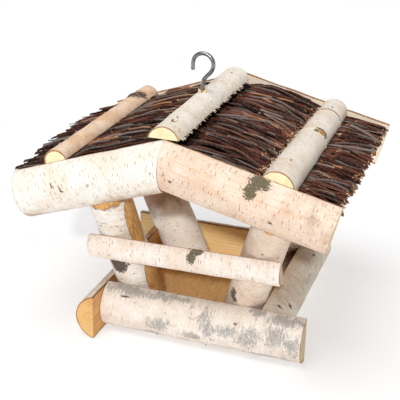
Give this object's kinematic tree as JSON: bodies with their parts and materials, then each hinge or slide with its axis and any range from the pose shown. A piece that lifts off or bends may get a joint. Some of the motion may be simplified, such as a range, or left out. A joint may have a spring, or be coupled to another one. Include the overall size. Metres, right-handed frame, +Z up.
{
  "type": "hanging bird feeder",
  "caption": "Open hanging bird feeder built of split birch logs: a boxed tray on leaning posts, a gabled brushwood roof and a screw hook.",
  "frame": {"origin": "on the ground plane under the middle of the roof", "axes": "+X to the right seen from the front gable, +Y to the back, +Z up"},
  "size_m": [0.3506, 0.293, 0.2907],
  "materials": {
    "birch_bark": "pale papery birch bark with dark dashes, cream split faces and end grain",
    "tan_bark": "smooth tan bark of a thin branch",
    "floor_wood": "weathered brown board, grain front to back",
    "softwood": "sawn pale wood",
    "brushwood": "dark red-brown twigs",
    "zinc_steel": "bright zinc-plated wire",
    "nail_steel": "dull steel"
  },
  "bodies": {
    "feeder": {"base_log_front": "birch_bark", "base_log_right": "birch_bark", "base_log_back": "birch_bark", "base_log_left": "birch_bark", "gable_log_front_left": "birch_bark", "gable_log_front_right": "birch_bark", "gable_log_back_left": "birch_bark", "gable_log_back_right": "birch_bark", "post_front_left": "birch_bark", "post_front_right": "birch_bark", "post_back_left": "birch_bark", "post_back_right": "birch_bark", "rail_front": "birch_bark", "rail_back": "birch_bark", "ridge_pole": "birch_bark", "batten_right": "birch_bark", "batten_left": "tan_bark", "floor_board": "floor_wood", "roof_board_left": "softwood", "roof_board_right": "softwood", "ridge_beam": "softwood", "brushwood_left": "brushwood", "brushwood_right": "brushwood", "nail_base_front_left": "nail_steel", "nail_base_front_right": "nail_steel", "nail_base_back_right": "nail_steel", "nail_base_back_left": "nail_steel", "nail_floor_front_left": "nail_steel", "nail_rail_front_left": "nail_steel", "nail_gable_front_left": "nail_steel", "nail_beam_front_left": "nail_steel", "screw_front_left": "nail_steel", "nail_floor_front_right": "nail_steel", "nail_rail_front_right": "nail_steel", "nail_gable_front_right": "nail_steel", "nail_beam_front_right": "nail_steel", "screw_front_right": "nail_steel", "nail_floor_back_left": "nail_steel", "nail_rail_back_left": "nail_steel", "nail_gable_back_left": "nail_steel", "nail_beam_back_left": "nail_steel", "screw_back_left": "nail_steel", "nail_floor_back_right": "nail_steel", "nail_rail_back_right": "nail_steel", "nail_gable_back_right": "nail_steel", "nail_beam_back_right": "nail_steel", "screw_back_right": "nail_steel", "nail_ridge_front": "nail_steel", "nail_batten_left_front": "nail_steel", "nail_batten_right_front": "nail_steel", "nail_ridge_back": "nail_steel", "nail_batten_left_back": "nail_steel", "nail_batten_right_back": "nail_steel"},
    "hook": {"screw_hook": "zinc_steel"}
  },
  "joints": [
    {"name": "hook_turn", "type": "hinge", "parent": "feeder", "child": "hook", "pos_m": [-0.002, -0.012, 0.243], "axis": [0, 0, 1], "range_deg": [-180, 180]}
  ]
}
